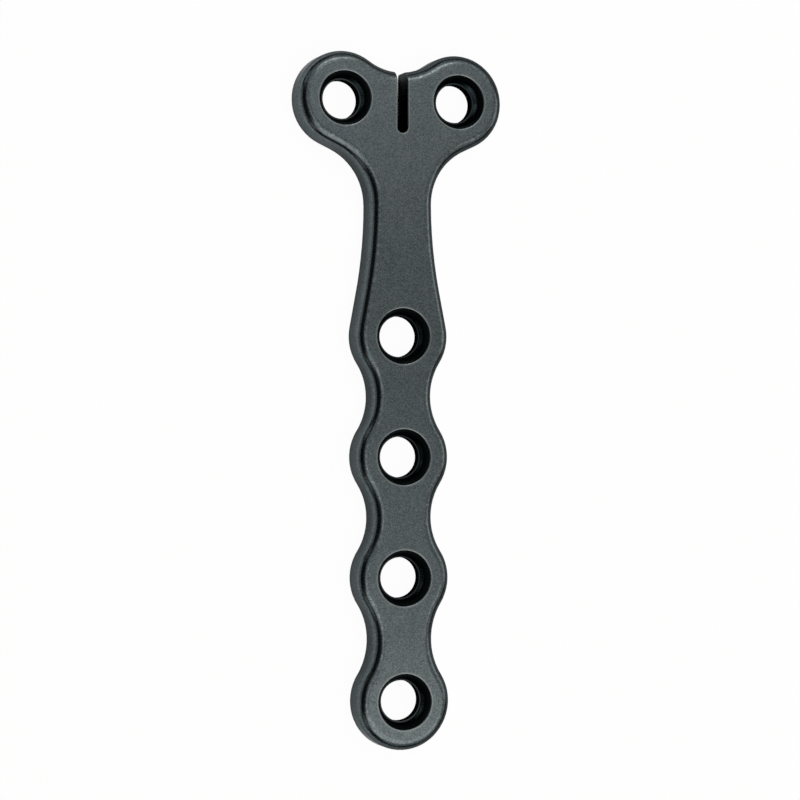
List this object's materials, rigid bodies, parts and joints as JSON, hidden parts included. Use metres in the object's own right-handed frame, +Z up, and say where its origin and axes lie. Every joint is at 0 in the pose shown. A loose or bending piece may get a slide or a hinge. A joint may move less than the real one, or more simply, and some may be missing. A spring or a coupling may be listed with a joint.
{
  "type": "orthopedic bone plate",
  "caption": "Flat Y-shaped bone plate with a scalloped shaft, countersunk screw holes down the shaft and in two head lobes, and a narrow slot between the lobes.",
  "frame": {"origin": "centre of the plate's bounding box in plan, on the underside", "axes": "+Y along the shaft towards the two-hole head, +X across the plate to the right seen from above, +Z up out of the countersunk top face"},
  "size_m": [0.0232, 0.075, 0.0032],
  "materials": {
    "anodised_titanium": "matte dark grey anodised titanium alloy, fine bead-blasted grain"
  },
  "bodies": {
    "root": {"bone_plate": "anodised_titanium"}
  },
  "joints": []
}
